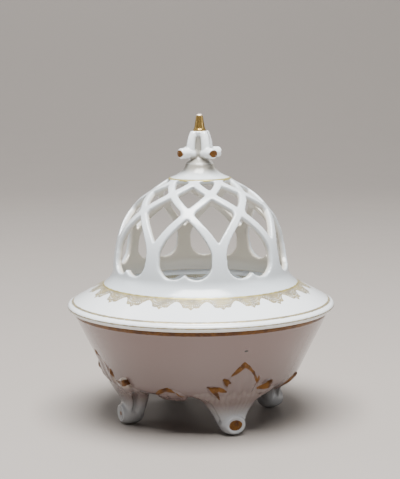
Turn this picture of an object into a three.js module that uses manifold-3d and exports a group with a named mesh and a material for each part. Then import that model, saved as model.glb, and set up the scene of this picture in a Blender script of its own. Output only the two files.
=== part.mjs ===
import * as THREE from 'three';
import { mergeVertices } from 'three/addons/utils/BufferGeometryUtils.js';
import Module from 'manifold-3d';

// A round porcelain powder box: a bowl on four scroll feet and a loose lid with a pierced lattice dome.
// Millimetres, +Z up. The origin is on the table under the middle, and the feet stand on the diagonals.

// Bowl
const rimRadius = 62.6; // outside of the mouth
const bowlHeight = 35.4; // underside to rim
const wallLean = 25.9; // degrees that the wall leans out from the upright
const bowlWall = 3.2;
const floorThickness = 3.6;
const outerCorner = 7; // reach of the rounding between underside and wall
const innerCorner = 8; // the same between floor and wall
const edgeRounding = 0.8; // of the rim and of the locating ring

// Feet, each with its acanthus leaf on the wall above it
const footHeight = 19.2; // table to underside
const footRadius = 36.7; // middle of a foot from the axis
const scrollLength = 11.8; // along the radius, heel to end face
const scrollWidth = 12.6; // at its thickest
const scrollTall = 10.6; // before it is ground flat
const scrollEndWidth = 9.2;
const scrollEyeWidth = 6; // dished eye in the end face
const scrollEyeDepth = 0.5;
const scrollDrop = 0.4; // ground off the scroll where it stands
const ankleWidth = 11.6;
const ankleDepth = 8;
const ankleHeight = 8;
const legFlare = 1.2; // 1 is an even flare, more keeps the leg slim for longer
const shoulderWidth = 31; // of the leg where it meets the underside
const shoulderDepth = 13.6;
const leafHeight = 20.2; // tip of the leaf above the underside
const leafWidth = 33;
const leafRelief = 1.4; // how far it stands proud of the wall
const fusedGap = 0.3; // left between parts that meet on a round face

// Apron shells, on the lower edge between the feet
const apronWidth = 15;
const apronHeight = 7.2;
const apronDrop = 0.7; // below the underside
const apronRelief = 1.2;
const apronDepth = 3; // of its lip, behind the line of the wall
const apronTurn = 4.2; // degrees past the middle between two feet

// Brim of the lid
const lidOverhang = 2.4; // past the bowl's rim
const beadRadius = 1.8; // rolled edge
const brimSlope = 28.8; // degrees
const brimThickness = 3;
const locatingDepth = 4.2; // ring that drops into the mouth
const locatingWall = 2.4;
const locatingClearance = 0.8; // to the bowl's inner wall

// Pierced dome
const domeFootRadius = 48; // outside, where it stands on the brim
const domeFootWidth = 3.6; // of the ring that it stands on
const domeRadius = 42.9; // outside, above the cove
const coveHeight = 7.2;
const domeRise = 51.4; // brim to the shoulder of the neck
const domeLean = 2; // degrees that the wall leans in above the cove
const domeSide = 33.2; // how far up the wall holds that lean
const crownRadius = 14.7; // at the shoulder of the neck
const crownSlope = 37.7; // degrees
const crownSpread = 8.7; // how far out the crown holds that slope
const domeWall = 3;
const crownThickness = 7.3; // from the hollow to the top of the neck
const neckRadius = 6.4;
const neckBend = 2.4; // above the shoulder, where its curve turns up
const neckRise = 6.8; // shoulder to the foot of the finial

// Lattice: each post splits into two ribs that lean over and cross those of its neighbours
const postCount = 8;
const postWidth = 7.2;
const ribWidth = 3.4;
const ribTaper = 6; // distance over which the post thins to a rib
const ribStart = 19; // up the wall from the brim, where the ribs part
const ribEnd = 63.4; // up the wall, where they run into the crown
const ribRows = 3; // half spacings of the posts that a rib travels on its way
const ribBend = 1.66; // 1 is a steady slant, more keeps the rib upright for longer
const archSpring = 16.8; // up the wall, where the sides of an arch begin
const archFoot = 9.7; // up the wall, the lowest point of an arch
const archCusp = 2.5; // height of the cusp between its two lobes

// Finial
const finialHeight = 15.8;
const finialTopRadius = 4.1;
const finialCoreRadius = 3; // deep in the grooves between the scrolls
const finialScrolls = 4;
const knobReach = 11; // end of a scroll from the axis
const knobRadius = 3; // of a scroll at its thickest
const knobEndRadius = 2.4;
const knobHeight = 4.9; // above the foot of the finial
const spireHeight = 8;
const spireRadius = 3.3;
const spireTipRadius = 1.4;

const lidTurn = -9.8; // degrees, the lid as it was put down
const roundSteps = 48; // facets round the bowl and the brim
const domeSteps = 40;

const radians = THREE.MathUtils.degToRad;
const lean = Math.tan(radians(wallLean));
const leanCosine = Math.cos(radians(wallLean));
const slope = radians(brimSlope);
const seatHeight = footHeight + bowlHeight;
const beadCentre = new THREE.Vector2(rimRadius + lidOverhang - beadRadius, seatHeight + beadRadius);
const slopeRun = beadCentre.x + beadRadius * Math.sin(slope) - domeFootRadius;
const brimTop = beadCentre.y + beadRadius * Math.cos(slope) + slopeRun * Math.tan(slope);
const finialFoot = brimTop + domeRise + neckRise;
const postSpacing = 2 * Math.PI / postCount;

const wasm = await Module();
wasm.setup();

// A closed surface as a solid that can be joined and cut
function solid(geometry) {
  const bare = geometry.index ? geometry.toNonIndexed() : geometry.clone();
  bare.deleteAttribute('normal');
  bare.deleteAttribute('uv');
  const merged = mergeVertices(bare, 1e-4);
  const corners = merged.index.array;
  const faces = [];
  for (let i = 0; i < corners.length; i += 3) {
    const [a, b, c] = [corners[i], corners[i + 1], corners[i + 2]];
    if (a !== b && b !== c && c !== a) faces.push(a, b, c);
  }
  return new wasm.Manifold(new wasm.Mesh({
    numProp: 3,
    vertProperties: new Float32Array(merged.attributes.position.array),
    triVerts: new Uint32Array(faces),
  }));
}

function part(name, body, material) {
  const { vertProperties, triVerts } = body.getMesh();
  const geometry = new THREE.BufferGeometry();
  geometry.setAttribute('position', new THREE.BufferAttribute(new Float32Array(vertProperties), 3));
  geometry.setIndex(new THREE.BufferAttribute(new Uint32Array(triVerts), 1));
  geometry.computeVertexNormals();
  const mesh = new THREE.Mesh(geometry, material);
  mesh.name = name;
  return mesh;
}

// A profile of (radius, height) turned about the Z axis: up the outside, down the inside
function turned(profile, steps) {
  return new THREE.LatheGeometry(profile, steps).rotateX(Math.PI / 2);
}

// A skin over rings of equally many points, closed at both ends by a flat outline of the same points
function lofted(rings, flat) {
  const count = flat.length;
  const last = (rings.length - 1) * count;
  const faces = [];
  for (let start = 0; start < last; start += count) {
    for (let i = 0; i < count; i++) {
      const a = start + i;
      const b = start + (i + 1) % count;
      faces.push(a, b, b + count, a, b + count, a + count);
    }
  }
  for (const [a, b, c] of THREE.ShapeUtils.triangulateShape(flat, [])) {
    faces.push(a, c, b, last + a, last + b, last + c);
  }
  const geometry = new THREE.BufferGeometry().setFromPoints(rings.flat());
  geometry.setIndex(faces);
  return geometry;
}

// Half of an outline, from bottom to top on the right, with its mirror image
function mirrored(half) {
  const right = half.getPoints(2);
  const left = right.filter(({ x }) => x > 0).map(({ x, y }) => new THREE.Vector2(-x, y));
  return new THREE.Shape([...right, ...left.reverse()]);
}

// An outline of (sideways, height) carried straight out along +X
function outward(shape) {
  const geometry = new THREE.ExtrudeGeometry(shape, { depth: rimRadius, bevelEnabled: false });
  return solid(geometry.rotateX(Math.PI / 2).rotateZ(Math.PI / 2));
}

// The wall of the bowl is a cone, so its radius grows evenly with height
function wallRadiusAt(height, outset = 0) {
  return rimRadius - (seatHeight - height) * lean + outset / leanCosine;
}

function hollowRadiusAt(height) {
  return wallRadiusAt(height, -bowlWall);
}

// The outside of the bowl up to a height, made larger all round by a gap
function bowlOutside(gap, top) {
  const bottom = footHeight - gap;
  const radius = wallRadiusAt(bottom, gap);
  const bend = bottom + outerCorner * leanCosine;
  const outline = new THREE.Path().moveTo(0, bottom);
  outline.lineTo(radius - outerCorner, bottom);
  outline.quadraticCurveTo(radius, bottom, wallRadiusAt(bend, gap), bend);
  outline.lineTo(wallRadiusAt(top, gap), top);
  return outline;
}

function bowl() {
  const shoulder = seatHeight - edgeRounding;
  const mouth = hollowRadiusAt(seatHeight);
  const floor = footHeight + floorThickness;
  const bend = floor + innerCorner * leanCosine;
  const outline = bowlOutside(0, shoulder);
  outline.quadraticCurveTo(rimRadius, seatHeight, rimRadius - edgeRounding, seatHeight);
  outline.lineTo(mouth + edgeRounding, seatHeight);
  outline.quadraticCurveTo(mouth, seatHeight, hollowRadiusAt(shoulder), shoulder);
  outline.lineTo(hollowRadiusAt(bend), bend);
  outline.quadraticCurveTo(hollowRadiusAt(floor), floor, hollowRadiusAt(floor) - innerCorner, floor);
  outline.lineTo(0, floor);
  return solid(turned(outline.getPoints(3), roundSteps));
}

// The space that the bowl takes, which feet and aprons stay clear of
function bowlSpace() {
  const outline = bowlOutside(fusedGap, seatHeight);
  outline.lineTo(0, seatHeight);
  return solid(turned(outline.getPoints(3), roundSteps));
}

// A band that follows the wall and stands proud of it, with tapered edges
function wallBand(low, high, relief, back) {
  const profile = [
    [wallRadiusAt(low) - back, low],
    [wallRadiusAt(low), low],
    [wallRadiusAt(low + relief, relief), low + relief],
    [wallRadiusAt(high - relief, relief), high - relief],
    [wallRadiusAt(high), high],
    [wallRadiusAt(high) - back, high],
    [wallRadiusAt(low) - back, low],
  ];
  return solid(turned(profile.map(([radius, height]) => new THREE.Vector2(radius, height)), roundSteps));
}

// Acanthus leaf with three lobes to each side, drawn from the stalk to the tip
function leaf() {
  const across = (share) => share * leafWidth / 2;
  const up = (share) => footHeight + share * leafHeight;
  const half = new THREE.Path().moveTo(0, up(-0.1));
  half.lineTo(across(0.42), up(-0.1));
  half.quadraticCurveTo(across(0.68), up(0.04), across(1), up(0.4));
  half.quadraticCurveTo(across(0.74), up(0.46), across(0.5), up(0.35));
  half.quadraticCurveTo(across(0.68), up(0.42), across(0.62), up(0.6));
  half.quadraticCurveTo(across(0.5), up(0.64), across(0.42), up(0.55));
  half.quadraticCurveTo(across(0.44), up(0.8), 0, up(1));
  return outward(mirrored(half));
}

// Leg: oval sections whose outer face carries on the slope of the wall
function leg() {
  const levels = 5;
  const start = scrollTall / 2 - scrollDrop;
  const top = footHeight + leafRelief;
  const sections = [];
  for (let level = 0; level < levels; level++) {
    const height = start + (top - start) * level / (levels - 1);
    const flare = Math.max(0, (height - ankleHeight) / (top - ankleHeight)) ** legFlare;
    const width = ankleWidth + (shoulderWidth - ankleWidth) * flare;
    const depth = ankleDepth + (shoulderDepth - ankleDepth) * flare;
    const face = wallRadiusAt(height, leafRelief * flare);
    const oval = new THREE.EllipseCurve(face - depth / 2, 0, depth / 2, width / 2).getPoints(16).slice(1);
    sections.push({ height, oval });
  }
  const rings = sections.map(({ height, oval }) => oval.map(({ x, y }) => new THREE.Vector3(x, y, height)));
  return solid(lofted(rings, sections[0].oval));
}

// Scroll under the leg: oval about a line along the radius, with a dished eye in its outer end
function scroll() {
  const half = scrollLength / 2;
  const radius = scrollWidth / 2;
  const outline = new THREE.Path().moveTo(0, -half);
  outline.quadraticCurveTo(radius, -half, radius, 0);
  outline.quadraticCurveTo(radius, 0.7 * half, scrollEndWidth / 2, half);
  outline.lineTo(scrollEyeWidth / 2, half);
  outline.lineTo(0, half - scrollEyeDepth);
  const geometry = turned(outline.getPoints(3), 16).rotateY(Math.PI / 2);
  geometry.scale(1, 1, scrollTall / scrollWidth);
  return solid(geometry.translate(footRadius, 0, scrollTall / 2 - scrollDrop));
}

function foot() {
  const table = new THREE.BoxGeometry(2 * rimRadius, 2 * rimRadius, scrollTall);
  const band = wallBand(footHeight - leafRelief, footHeight + leafHeight, leafRelief, outerCorner);
  const whole = leg().add(scroll()).add(band.intersect(leaf())).subtract(bowlSpace());
  return whole.subtract(solid(table.translate(0, 0, -scrollTall / 2)));
}

// Apron: a shell on the lower edge of the bowl, between two feet
function apron() {
  const low = footHeight - apronDrop;
  const high = low + apronHeight;
  const half = new THREE.Path().moveTo(0, low);
  half.quadraticCurveTo(0.46 * apronWidth, low, apronWidth / 2, low + 0.45 * apronHeight);
  half.quadraticCurveTo(0.42 * apronWidth, high, 0, high);
  const shell = wallBand(low, high, apronRelief, apronDepth).intersect(outward(mirrored(half)));
  return shell.subtract(bowlSpace());
}

// Brim of the lid: rolled edge, flat seat on the rim, and a ring that drops into the mouth
function brim() {
  const inner = domeFootRadius - domeFootWidth;
  const under = brimTop - brimThickness / Math.cos(slope);
  const low = seatHeight - locatingDepth;
  const ringOutside = hollowRadiusAt(low) - locatingClearance;
  const ringInside = ringOutside - locatingWall;
  const outline = new THREE.Path().moveTo(inner, under);
  outline.lineTo(domeFootRadius, under);
  outline.lineTo(ringInside, under - (ringInside - domeFootRadius) * Math.tan(slope));
  outline.lineTo(ringInside, low + edgeRounding);
  outline.quadraticCurveTo(ringInside, low, ringInside + edgeRounding, low);
  outline.lineTo(ringOutside - edgeRounding, low);
  outline.quadraticCurveTo(ringOutside, low, ringOutside, low + edgeRounding);
  outline.lineTo(ringOutside, seatHeight);
  outline.lineTo(beadCentre.x, seatHeight);
  outline.absarc(beadCentre.x, beadCentre.y, beadRadius, -Math.PI / 2, Math.PI / 2 - slope);
  outline.lineTo(domeFootRadius, brimTop);
  outline.lineTo(inner, brimTop);
  outline.lineTo(inner, under);
  return solid(turned(outline.getPoints(3), roundSteps));
}

// Cove that leads from the brim into the wall of the dome
function coveCurve(atBrim, atWall) {
  const bend = 0.45 * coveHeight;
  return new THREE.QuadraticBezierCurve(
    new THREE.Vector2(atBrim, brimTop),
    new THREE.Vector2(atWall + (coveHeight - bend) * Math.tan(radians(domeLean)), brimTop + bend),
    new THREE.Vector2(atWall, brimTop + coveHeight),
  );
}

// Outside of the dome, from the brim to the shoulder of the neck
function domeCurve() {
  const base = new THREE.Vector2(domeRadius, brimTop + coveHeight);
  const crown = new THREE.Vector2(crownRadius, brimTop + domeRise);
  const middle = new THREE.Vector2();
  const side = new THREE.Vector2(0, domeSide).rotateAround(middle, radians(domeLean)).add(base);
  const brow = new THREE.Vector2(crownSpread, 0).rotateAround(middle, -radians(crownSlope)).add(crown);
  const curve = new THREE.CurvePath();
  curve.add(coveCurve(domeFootRadius, domeRadius));
  curve.add(new THREE.CubicBezierCurve(base, side, brow, crown));
  return curve;
}

const domeWallCurve = domeCurve();
const [coveLength, wallLength] = domeWallCurve.getCurveLengths();

// A point beside the dome's outside: how far up the wall, and how far out from it
function besideWall(distance, outset) {
  const share = Math.min(distance / wallLength, 1);
  const along = domeWallCurve.getTangentAt(share);
  return domeWallCurve.getPointAt(share).add(new THREE.Vector2(along.y, -along.x).multiplyScalar(outset));
}

// Dome with its cove and neck, before it is pierced
function domeShell() {
  const shoulder = brimTop + domeRise;
  const hollowTop = finialFoot - crownThickness;
  const profile = [];
  const insideCrown = besideWall(wallLength, -domeWall);
  const outline = new THREE.Path().moveTo(0, hollowTop);
  outline.quadraticCurveTo(0.6 * insideCrown.x, hollowTop, insideCrown.x, insideCrown.y);
  profile.push(...outline.getPoints(3));
  const insideSteps = 5;
  for (let step = 1; step < insideSteps; step++) {
    profile.push(besideWall(wallLength + (coveLength - wallLength) * step / insideSteps, -domeWall));
  }
  profile.push(...coveCurve(domeFootRadius - domeFootWidth, domeRadius - domeWall).getPoints(3).reverse());
  profile.push(...domeWallCurve.getSpacedPoints(11));
  const neck = new THREE.QuadraticBezierCurve(
    new THREE.Vector2(crownRadius, shoulder),
    new THREE.Vector2(neckRadius + 0.5, shoulder + neckBend),
    new THREE.Vector2(neckRadius, finialFoot),
  );
  profile.push(...neck.getPoints(4).slice(1));
  profile.push(new THREE.Vector2(0, finialFoot));
  return solid(turned(profile, domeSteps));
}

// Angle between a rib's middle line and the post that it grows from, and half the angle that it covers
function ribAt(distance) {
  const rise = Math.max(0, distance - ribStart) / (ribEnd - ribStart);
  const angle = ribRows * postSpacing / 2 * rise ** ribBend;
  const turnPerMillimetre = rise > 0 ? ribBend * angle / (distance - ribStart) : 0;
  const radius = besideWall(distance, 0).x;
  const width = ribWidth + (postWidth - ribWidth) * Math.exp(-Math.max(0, distance - ribStart) / ribTaper);
  return { angle, half: width / 2 * Math.hypot(1, radius * turnPerMillimetre) / radius };
}

// Half the angle of an opening: row 0 is the arches, and each next row sits half a spacing on
function openingHalfAngle(row, distance) {
  const { angle, half } = ribAt(distance);
  return Math.min(angle - (row - 1) * postSpacing / 2, (row + 1) * postSpacing / 2 - angle) - half;
}

// Right side of an opening, from its lower to its upper end, as (angle, distance up the wall)
function openingSide(row) {
  const fine = 0.05;
  let low = row ? ribStart : archSpring;
  while (openingHalfAngle(row, low) <= 0) low += fine;
  let high = low;
  let widest = low;
  while (high < ribEnd && openingHalfAngle(row, high) > 0) {
    if (openingHalfAngle(row, high) > openingHalfAngle(row, widest)) widest = high;
    high += fine;
  }
  const side = [];
  const steps = Math.max(2, 5 - row);
  for (const [from, to] of [[low, widest], [widest, high]]) {
    for (let step = 0; step < steps; step++) {
      const distance = from + (to - from) * step / steps;
      if (to > from) side.push([Math.max(0, openingHalfAngle(row, distance)), distance]);
    }
  }
  side.push([Math.max(0, openingHalfAngle(row, high)), high]);
  return side;
}

// Foot of an arch: two lobes that meet in a cusp, right half from the middle to the side
function archFootSide(halfAngle) {
  const drop = archSpring - archFoot;
  const overlap = Math.sqrt(1 - (1 - archCusp / drop) ** 2);
  const lobe = halfAngle / (1 + overlap);
  const cusp = Math.PI - Math.acos(overlap);
  const side = [];
  const steps = 4;
  for (let step = 0; step < steps; step++) {
    const turn = cusp * (1 - step / steps);
    side.push([lobe * (overlap + Math.cos(turn)), archSpring - drop * Math.sin(turn)]);
  }
  return side;
}

// Cutter for one opening, which runs through the wall at right angles to it
function cutter(row) {
  const side = openingSide(row);
  if (!row) side.unshift(...archFootSide(side[0][0]));
  const right = side.map(([angle, distance]) => new THREE.Vector2(angle, distance));
  const left = right.filter(({ x }) => x > 1e-3).map(({ x, y }) => new THREE.Vector2(-x, y));
  const outline = [...right, ...left.reverse()];
  const rings = [-2 * domeWall, 1.4 * domeWall].map((outset) => outline.map(({ x, y }) => {
    const point = besideWall(y, outset);
    return new THREE.Vector3(point.x * Math.cos(x), point.x * Math.sin(x), point.y);
  }));
  return lofted(rings, outline);
}

function dome() {
  let pierced = domeShell();
  for (let row = 0; row <= ribRows; row++) {
    for (let post = 0; post < postCount; post++) {
      const middle = (post + (row + 1) % 2 / 2) * postSpacing;
      pierced = pierced.subtract(solid(cutter(row).rotateZ(middle)));
    }
  }
  return pierced;
}

// One scroll of the finial: it hangs from the top and turns out to a round end
function finialScroll() {
  const line = new THREE.CubicBezierCurve3(
    new THREE.Vector3(0.44 * finialTopRadius, 0, 0.93 * finialHeight),
    new THREE.Vector3(0.8 * finialTopRadius, 0, 0.5 * finialHeight),
    new THREE.Vector3(0.4 * knobReach, 0, knobHeight),
    new THREE.Vector3(knobReach, 0, knobHeight),
  );
  const swell = new THREE.QuadraticBezierCurve(
    new THREE.Vector2(0, 0.56 * finialTopRadius),
    new THREE.Vector2(0.5, 1.3 * knobRadius),
    new THREE.Vector2(1, knobEndRadius),
  );
  const circle = new THREE.EllipseCurve(0, 0, 1, 1).getPoints(10).slice(1);
  const side = new THREE.Vector3(0, 1, 0);
  const steps = 8;
  const rings = [];
  for (let step = 0; step <= steps; step++) {
    const share = step / steps;
    const middle = line.getPoint(share);
    const up = line.getTangent(share).cross(side);
    const half = swell.getPoint(share).y * (1 - 0.15 * share ** 12);
    rings.push(circle.map(({ x, y }) => {
      const aside = side.clone().multiplyScalar(x * half);
      return middle.clone().add(aside).addScaledVector(up, y * half);
    }));
  }
  return solid(lofted(rings, circle));
}

// Finial: four scrolls round a core that fills the neck below and carries the spire above
function finial() {
  const core = new THREE.Path().moveTo(0, 0);
  core.lineTo(neckRadius, 0);
  core.quadraticCurveTo(0.8 * neckRadius, 0.2 * finialHeight, finialCoreRadius, 0.5 * finialHeight);
  core.lineTo(finialCoreRadius, 0.8 * finialHeight);
  core.quadraticCurveTo(finialTopRadius, 0.85 * finialHeight, 0.9 * finialTopRadius, finialHeight);
  core.lineTo(0, finialHeight);
  let whole = solid(turned(core.getPoints(3), 20));
  for (let i = 0; i < finialScrolls; i++) {
    whole = whole.add(finialScroll().rotate([0, 0, 360 * i / finialScrolls]));
  }
  return whole;
}

function spire() {
  const outline = new THREE.Path().moveTo(0, 0);
  outline.lineTo(spireRadius, 0);
  outline.quadraticCurveTo(0.8 * spireRadius, 0.12 * spireHeight, 0.75 * spireRadius, 0.3 * spireHeight);
  outline.lineTo(spireTipRadius, spireHeight - spireTipRadius);
  outline.quadraticCurveTo(spireTipRadius, spireHeight, 0, spireHeight);
  return solid(turned(outline.getPoints(3), 16));
}

function porcelain() {
  return new THREE.MeshStandardMaterial({ color: 0xe6e2dd, roughness: 0.16, metalness: 0 });
}

function gilding() {
  return new THREE.MeshStandardMaterial({ color: 0xa9803a, roughness: 0.35, metalness: 1 });
}

const base = new THREE.Group();
base.add(part('bowl', bowl(), porcelain()));
const corners = ['front_right', 'back_right', 'back_left', 'front_left'];
corners.forEach((corner, i) => {
  const mesh = part('foot_' + corner, foot(), porcelain());
  mesh.rotation.z = (i - 0.5) * Math.PI / 2;
  base.add(mesh);
});
const sides = ['front', 'right', 'back', 'left'];
sides.forEach((side, i) => {
  const mesh = part('apron_' + side, apron(), porcelain());
  mesh.rotation.z = (i - 1) * Math.PI / 2 + radians(apronTurn);
  base.add(mesh);
});

const lid = new THREE.Group();
lid.rotation.z = radians(lidTurn);
lid.add(part('lid_brim', brim(), porcelain()));
lid.add(part('lid_dome', dome(), porcelain()));
const finialMesh = part('finial', finial(), porcelain());
finialMesh.position.z = finialFoot;
finialMesh.rotation.z = -postSpacing / 2;
lid.add(finialMesh);
const spireMesh = part('finial_spire', spire(), gilding());
spireMesh.position.z = finialFoot + finialHeight;
lid.add(spireMesh);

const powderBox = new THREE.Group();
powderBox.add(base, lid);
export default powderBox;
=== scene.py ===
from functools import reduce
import math
import bmesh
import bpy
import numpy as np
from mathutils import Matrix, Vector


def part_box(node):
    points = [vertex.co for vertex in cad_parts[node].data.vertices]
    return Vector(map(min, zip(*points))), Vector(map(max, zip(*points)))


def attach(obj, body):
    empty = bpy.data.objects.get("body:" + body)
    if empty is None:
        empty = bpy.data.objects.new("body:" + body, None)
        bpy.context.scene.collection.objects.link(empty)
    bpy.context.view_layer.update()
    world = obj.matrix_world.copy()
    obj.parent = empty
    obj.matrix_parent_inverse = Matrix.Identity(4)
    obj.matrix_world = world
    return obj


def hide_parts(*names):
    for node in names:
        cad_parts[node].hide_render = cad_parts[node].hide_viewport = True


# A round porcelain powder box: a bowl on four scroll feet under a lid with a pierced lattice dome.
# Shapes are given in millimetres and made in metres, in the frame's own place.
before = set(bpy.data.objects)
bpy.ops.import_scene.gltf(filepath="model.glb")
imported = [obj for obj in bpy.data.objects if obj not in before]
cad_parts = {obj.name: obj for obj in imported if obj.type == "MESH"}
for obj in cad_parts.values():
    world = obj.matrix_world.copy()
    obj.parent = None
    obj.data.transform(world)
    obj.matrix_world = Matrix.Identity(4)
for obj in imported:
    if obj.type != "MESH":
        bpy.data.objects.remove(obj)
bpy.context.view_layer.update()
mm = 0.001
fullTurn = 2 * math.pi


def lowOf(node):
    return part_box(node)[0].z / mm


def highOf(node):
    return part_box(node)[1].z / mm


print("frame loaded")

# Camera and stage
cameraPlace = {
    "azimuth": 23,  # degrees round from the front
    "distance": 642,  # from the box's axis
    "height": 175.6,
    "pitch": 7.79,  # degrees down
    "roll": -0.45,
    "lens": 99.9,
    "shift": -0.0008,
    "seesFrom": 0.05,  # metres
    "seesTo": 50,
}


def addCamera():
    data = bpy.data.cameras.new("camera")
    data.lens = cameraPlace["lens"]
    data.shift_x = cameraPlace["shift"]
    data.clip_start = cameraPlace["seesFrom"]
    data.clip_end = cameraPlace["seesTo"]
    camera = bpy.data.objects.new("camera", data)
    turn = Matrix.Rotation(math.radians(cameraPlace["azimuth"]), 4, "Z")
    place = turn @ Vector((0, -cameraPlace["distance"] * mm, cameraPlace["height"] * mm))
    pitch = Matrix.Rotation(math.radians(90 - cameraPlace["pitch"]), 4, "X")
    roll = Matrix.Rotation(math.radians(cameraPlace["roll"]), 4, "Z")
    camera.matrix_world = Matrix.Translation(place) @ turn @ pitch @ roll
    bpy.context.scene.collection.objects.link(camera)
    bpy.context.scene.camera = camera


# Places and sizes in metres
lamps = {
    "overhead": {
        "place": (0.12, -0.28, 1.1), "towards": (0, 0, 0.07),
        "size": 0.75, "power": 50, "colour": (1, 0.995, 0.98),
    },
    "window": {
        "place": (-1.15, -0.25, 0.6), "towards": (0, 0, 0.07),
        "size": 0.6, "power": 2.4, "colour": (0.90, 0.96, 1),
    },
    "fill": {
        "place": (1.15, 0.15, 0.42), "towards": (0, 0, 0.05),
        "size": 0.6, "power": 2.6, "colour": (0.94, 0.97, 1),
    },
    "backdrop": {
        "place": (-0.5, 0.8, 1.3), "towards": (-0.9, 1.9, 0),
        "size": 0.9, "power": 13, "colour": (1, 1, 1),
    },
}


def addLamps():
    for name, lamp in lamps.items():
        data = bpy.data.lights.new(name, "AREA")
        data.size = lamp["size"]
        data.energy = lamp["power"]
        data.color = lamp["colour"]
        piece = bpy.data.objects.new(name, data)
        piece.location = lamp["place"]
        aim = Vector(lamp["towards"]) - Vector(lamp["place"])
        piece.rotation_euler = aim.to_track_quat("-Z", "Y").to_euler()
        bpy.context.scene.collection.objects.link(piece)


room = {"colour": (0.78, 0.82, 0.86, 1), "strength": 0.135}


def addRoom():
    world = bpy.data.worlds.new("room")
    world.use_nodes = True
    background = world.node_tree.nodes["Background"]
    background.inputs["Color"].default_value = room["colour"]
    background.inputs["Strength"].default_value = room["strength"]
    bpy.context.scene.world = world


addCamera()
addLamps()
addRoom()
print("camera, lamps and room made")


# Shader arithmetic
class Wire:
    def __init__(self, paint, socket):
        self.paint = paint
        self.socket = socket

    def __add__(self, other):
        return self.paint.maths("ADD", self, other)

    def __radd__(self, other):
        return self.paint.maths("ADD", other, self)

    def __sub__(self, other):
        return self.paint.maths("SUBTRACT", self, other)

    def __rsub__(self, other):
        return self.paint.maths("SUBTRACT", other, self)

    def __mul__(self, other):
        return self.paint.maths("MULTIPLY", self, other)

    def __rmul__(self, other):
        return self.paint.maths("MULTIPLY", other, self)

    def __truediv__(self, other):
        return self.paint.maths("DIVIDE", self, other)

    def __pow__(self, other):
        return self.paint.maths("POWER", self, other)

    def __abs__(self):
        return self.paint.maths("ABSOLUTE", self)


class Paint:
    def __init__(self, name):
        self.material = bpy.data.materials.new(name)
        self.material.use_nodes = True
        self.tree = self.material.node_tree
        self.tree.nodes.clear()
        self.place = self.node("ShaderNodeTexCoord", output="Object")
        point = self.node("ShaderNodeVectorMath", {"operation": "SCALE"}, {0: self.place, "Scale": 1 / mm})
        self.x, self.y, self.z = (
            self.node("ShaderNodeSeparateXYZ", {}, {"Vector": point}, output=axis) for axis in "XYZ"
        )

    # every node comes from here: its type, its settings, then the values or links of its sockets
    def node(self, kind, settings=None, values=None, output=0):
        made = self.tree.nodes.new(kind)
        for key, value in (settings or {}).items():
            setattr(made, key, value)
        for key, value in (values or {}).items():
            socket = made.inputs[key]
            if isinstance(value, Wire):
                self.tree.links.new(value.socket, socket)
            else:
                socket.default_value = value
        return Wire(self, made.outputs[output]) if made.outputs else made

    def maths(self, operation, *numbers):
        return self.node("ShaderNodeMath", {"operation": operation}, dict(enumerate(numbers)))

    def least(self, *values):
        return reduce(lambda first, second: self.maths("MINIMUM", first, second), values)

    def most(self, *values):
        return reduce(lambda first, second: self.maths("MAXIMUM", first, second), values)

    # 0 below the low value, 1 above the high one
    def ease(self, value, low, high):
        return self.node(
            "ShaderNodeMapRange",
            {"interpolation_type": "SMOOTHSTEP"},
            {"Value": value, "From Min": low, "From Max": high},
        )

    def mix(self, share, first, second):
        return self.node("ShaderNodeMix", {"data_type": "RGBA"}, {0: share, 6: first, 7: second}, output=2)

    # a cloud of values round 0.5, its grain in millimetres
    def cloud(self, grain, detail=2, seed=0.0):
        shifted = self.node("ShaderNodeVectorMath", {"operation": "ADD"}, {0: self.place, 1: (seed,) * 3})
        return self.node(
            "ShaderNodeTexNoise", {}, {"Vector": shifted, "Scale": 1 / (grain * mm), "Detail": detail},
        )

    def attribute(self, name):
        return self.node("ShaderNodeAttribute", {"attribute_name": name}, output="Fac")

    def radius(self):
        return (self.x * self.x + self.y * self.y) ** 0.5

    def angle(self):
        return self.maths("ARCTAN2", self.y, self.x)

    # 1 inside an edge, which is given as a distance in millimetres that is negative inside
    def within(self, edge, blur=0.12):
        return 1 - self.ease(edge, -blur, blur)

    def finish(self, values):
        shader = self.node("ShaderNodeBsdfPrincipled", {}, values)
        self.node("ShaderNodeOutputMaterial", {}, {"Surface": shader})
        return self.material


# Glaze and gilding
glaze = {
    "white": (0.86, 0.90, 0.93, 1),
    "grey": (0.79, 0.83, 0.86, 1),
    "cream": (0.80, 0.715, 0.57, 1),
    "shade": (0.30, 0.28, 0.235, 1),  # painted shade, for hollows, grooves and the undersides of overhangs
    "roughness": 0.16,
    "smears": 0.06,  # how much the roughness varies
    "coat": 0.6,
    "coatRoughness": 0.18,
    "refraction": 1.5,
    "waves": 0.35,  # depth of the slow unevenness in the bump
    "pits": 0.012,
    "bump": 0.5,
    # dark specks in the glaze: cells in a metre, one cell, a speck's radius, its blur and how much it shows
    "specks": {"cells": 95.0, "cell": 10.5, "radius": 0.25, "blur": 0.12, "share": 0.3},
    "speck": (0.30, 0.25, 0.20, 1),
    "spot": (0.02, 0.012, 0.01, 1),
}
gold = {
    "bright": (0.145, 0.055, 0.0006, 1),
    "brown": (0.062, 0.018, 0.0003, 1),
    "roughness": 0.4,
    "metallic": 0.4,
    "wear": 0.25,  # millimetres that the worn edge wanders
    "rubbed": (0.62, 0.74),  # where in its cloud the gold is rubbed thin
    "rubbedShare": 0.45,
    "brownFrom": (0.35, 0.7),
    "thickness": 0.05,
}
paleGold = {"bright": (0.30, 0.22, 0.045, 1), "brown": (0.15, 0.11, 0.03, 1)}  # thin matt gold on the brim
yellowGold = {"bright": (0.42, 0.34, 0.035, 1), "brown": (0.25, 0.19, 0.025, 1)}  # its lines on the dome
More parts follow.
